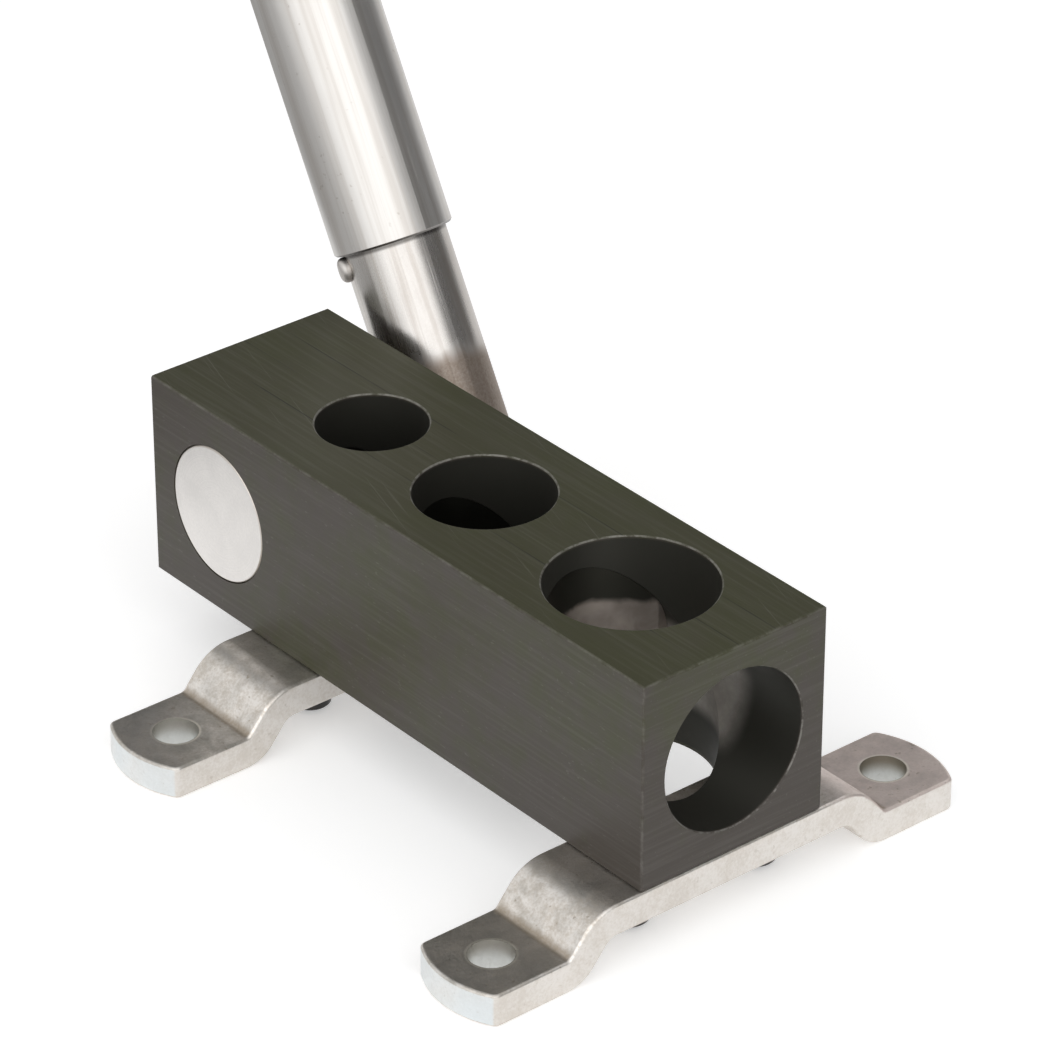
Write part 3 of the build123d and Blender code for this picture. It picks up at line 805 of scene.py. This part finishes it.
def add_flag(name, grey, azimuth, elevation, distance, size, lean=None):
    """Card outside the picture that the bright metal mirrors, square to the block unless it leans."""
    bpy.ops.mesh.primitive_plane_add(size=1.0)
    card = bpy.context.object
    card.name = name
    direction = outlook(math.radians(azimuth), math.radians(elevation))
    normal = outlook(math.radians(azimuth), math.radians(elevation if lean is None else lean))
    stretch = Matrix.Diagonal((*size, 1.0, 1.0))
    card.data.transform(Matrix.Translation(distance * direction) @ facing(normal) @ stretch)
    material, shader = new_finish(name)
    matt = shader.node("ShaderNodeBsdfDiffuse", {"Color": (grey, grey, grey, 1.0)})
    shader.node("ShaderNodeOutputMaterial", {"Surface": matt.outputs[0]})
    card.data.materials.append(material)
    card.visible_camera = False
    card.visible_diffuse = False
    card.visible_shadow = False


def add_flags():
    """Cards beside the handle, above the far side and on the floor."""
    setting = studio()
    add_flag(
        "side_flag", setting.side_flag, azimuth=152.0, elevation=19.0, distance=1.3, size=(2.1, 1.0)
    )
    add_flag(
        "roof_flag", setting.roof_flag, azimuth=241.0, elevation=42.0, distance=1.6, size=(1.4, 1.4)
    )
    add_flag(
        "floor_flag",
        setting.floor_flag,
        azimuth=-50.0,
        elevation=0.1,
        distance=0.52,
        size=(0.8, 0.7),
        lean=89.9,
    )


def add_sky():
    """White surroundings that light the object evenly."""
    setting = studio()
    world = bpy.data.worlds.new("studio_sky")
    shader = Shader(world)
    shown = shown_rays(shader)
    strength = shown + (1 - shown) * setting.sky
    white = shader.node("ShaderNodeBackground", {"Color": (1.0, 1.0, 1.0, 1.0), "Strength": strength})
    shader.node("ShaderNodeOutputWorld", {"Surface": white.outputs[0]})
    bpy.context.scene.world = world


def add_key():
    """Softbox beside the camera."""
    setting = studio()
    lamp = bpy.data.lights.new("softbox", "AREA")
    lamp.shape = "RECTANGLE"
    lamp.size = setting.key_width
    lamp.size_y = setting.key_height
    lamp.energy = setting.key_power
    key = bpy.data.objects.new("softbox", lamp)
    bpy.context.scene.collection.objects.link(key)
    direction = outlook(setting.key_azimuth, setting.key_elevation)
    key.matrix_world = Matrix.Translation(setting.key_distance * direction) @ facing(direction)
    key.visible_camera = False


def add_camera():
    """Camera at the photograph's view."""
    setting = studio()
    optics = bpy.data.cameras.new("camera")
    optics.lens = setting.lens
    optics.clip_end = 20.0
    camera = bpy.data.objects.new("camera", optics)
    bpy.context.scene.collection.objects.link(camera)
    direction = outlook(setting.azimuth, setting.elevation)
    spot = Vector(setting.aim) + setting.distance * direction
    camera.matrix_world = Matrix.Translation(spot) @ facing(direction)
    bpy.context.scene.camera = camera


class NOTCHER_OT_stage(Operator):
    """Set up the floor, the light and the camera"""

    bl_idname = "notcher.stage"
    bl_label = "Studio"

    def execute(self, context):
        bpy.ops.object.select_all(action="DESELECT")
        add_floor()
        add_flags()
        add_sky()
        add_key()
        add_camera()
        context.scene.view_settings.view_transform = "Standard"
        return {"FINISHED"}


class NOTCHER_PT_panel(Panel):
    """Buttons and settings of the tube notcher"""

    bl_idname = "NOTCHER_PT_panel"
    bl_label = "Tube Notcher"
    bl_space_type = "VIEW_3D"
    bl_region_type = "UI"
    bl_category = "Tube Notcher"

    def draw(self, context):
        layout = self.layout
        for operator in OPERATORS:
            layout.operator(operator.bl_idname)
        for group in (finishes(), studio()):
            column = layout.column()
            for name in group.__annotations__:
                column.prop(group, name)


OPERATORS = (
    NOTCHER_OT_block,
    NOTCHER_OT_drive,
    NOTCHER_OT_lever,
    NOTCHER_OT_handle,
    NOTCHER_OT_feet,
    NOTCHER_OT_screws,
    NOTCHER_OT_stage,
)
CLASSES = (NotcherFinishes, NotcherStudio, *OPERATORS, NOTCHER_PT_panel)


def register():
    """Adds the classes and the scene's settings."""
    for item in CLASSES:
        bpy.utils.register_class(item)
    bpy.types.Scene.notcher_finishes = PointerProperty(type=NotcherFinishes)
    bpy.types.Scene.notcher_studio = PointerProperty(type=NotcherStudio)


def unregister():
    """Removes the scene's settings and the classes."""
    del bpy.types.Scene.notcher_studio
    del bpy.types.Scene.notcher_finishes
    for item in reversed(CLASSES):
        bpy.utils.unregister_class(item)


def main():
    """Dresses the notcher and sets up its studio."""
    register()
    for operator in OPERATORS:
        group, name = operator.bl_idname.split(".")
        getattr(getattr(bpy.ops, group), name)()


if __name__ == "__main__":
    main()
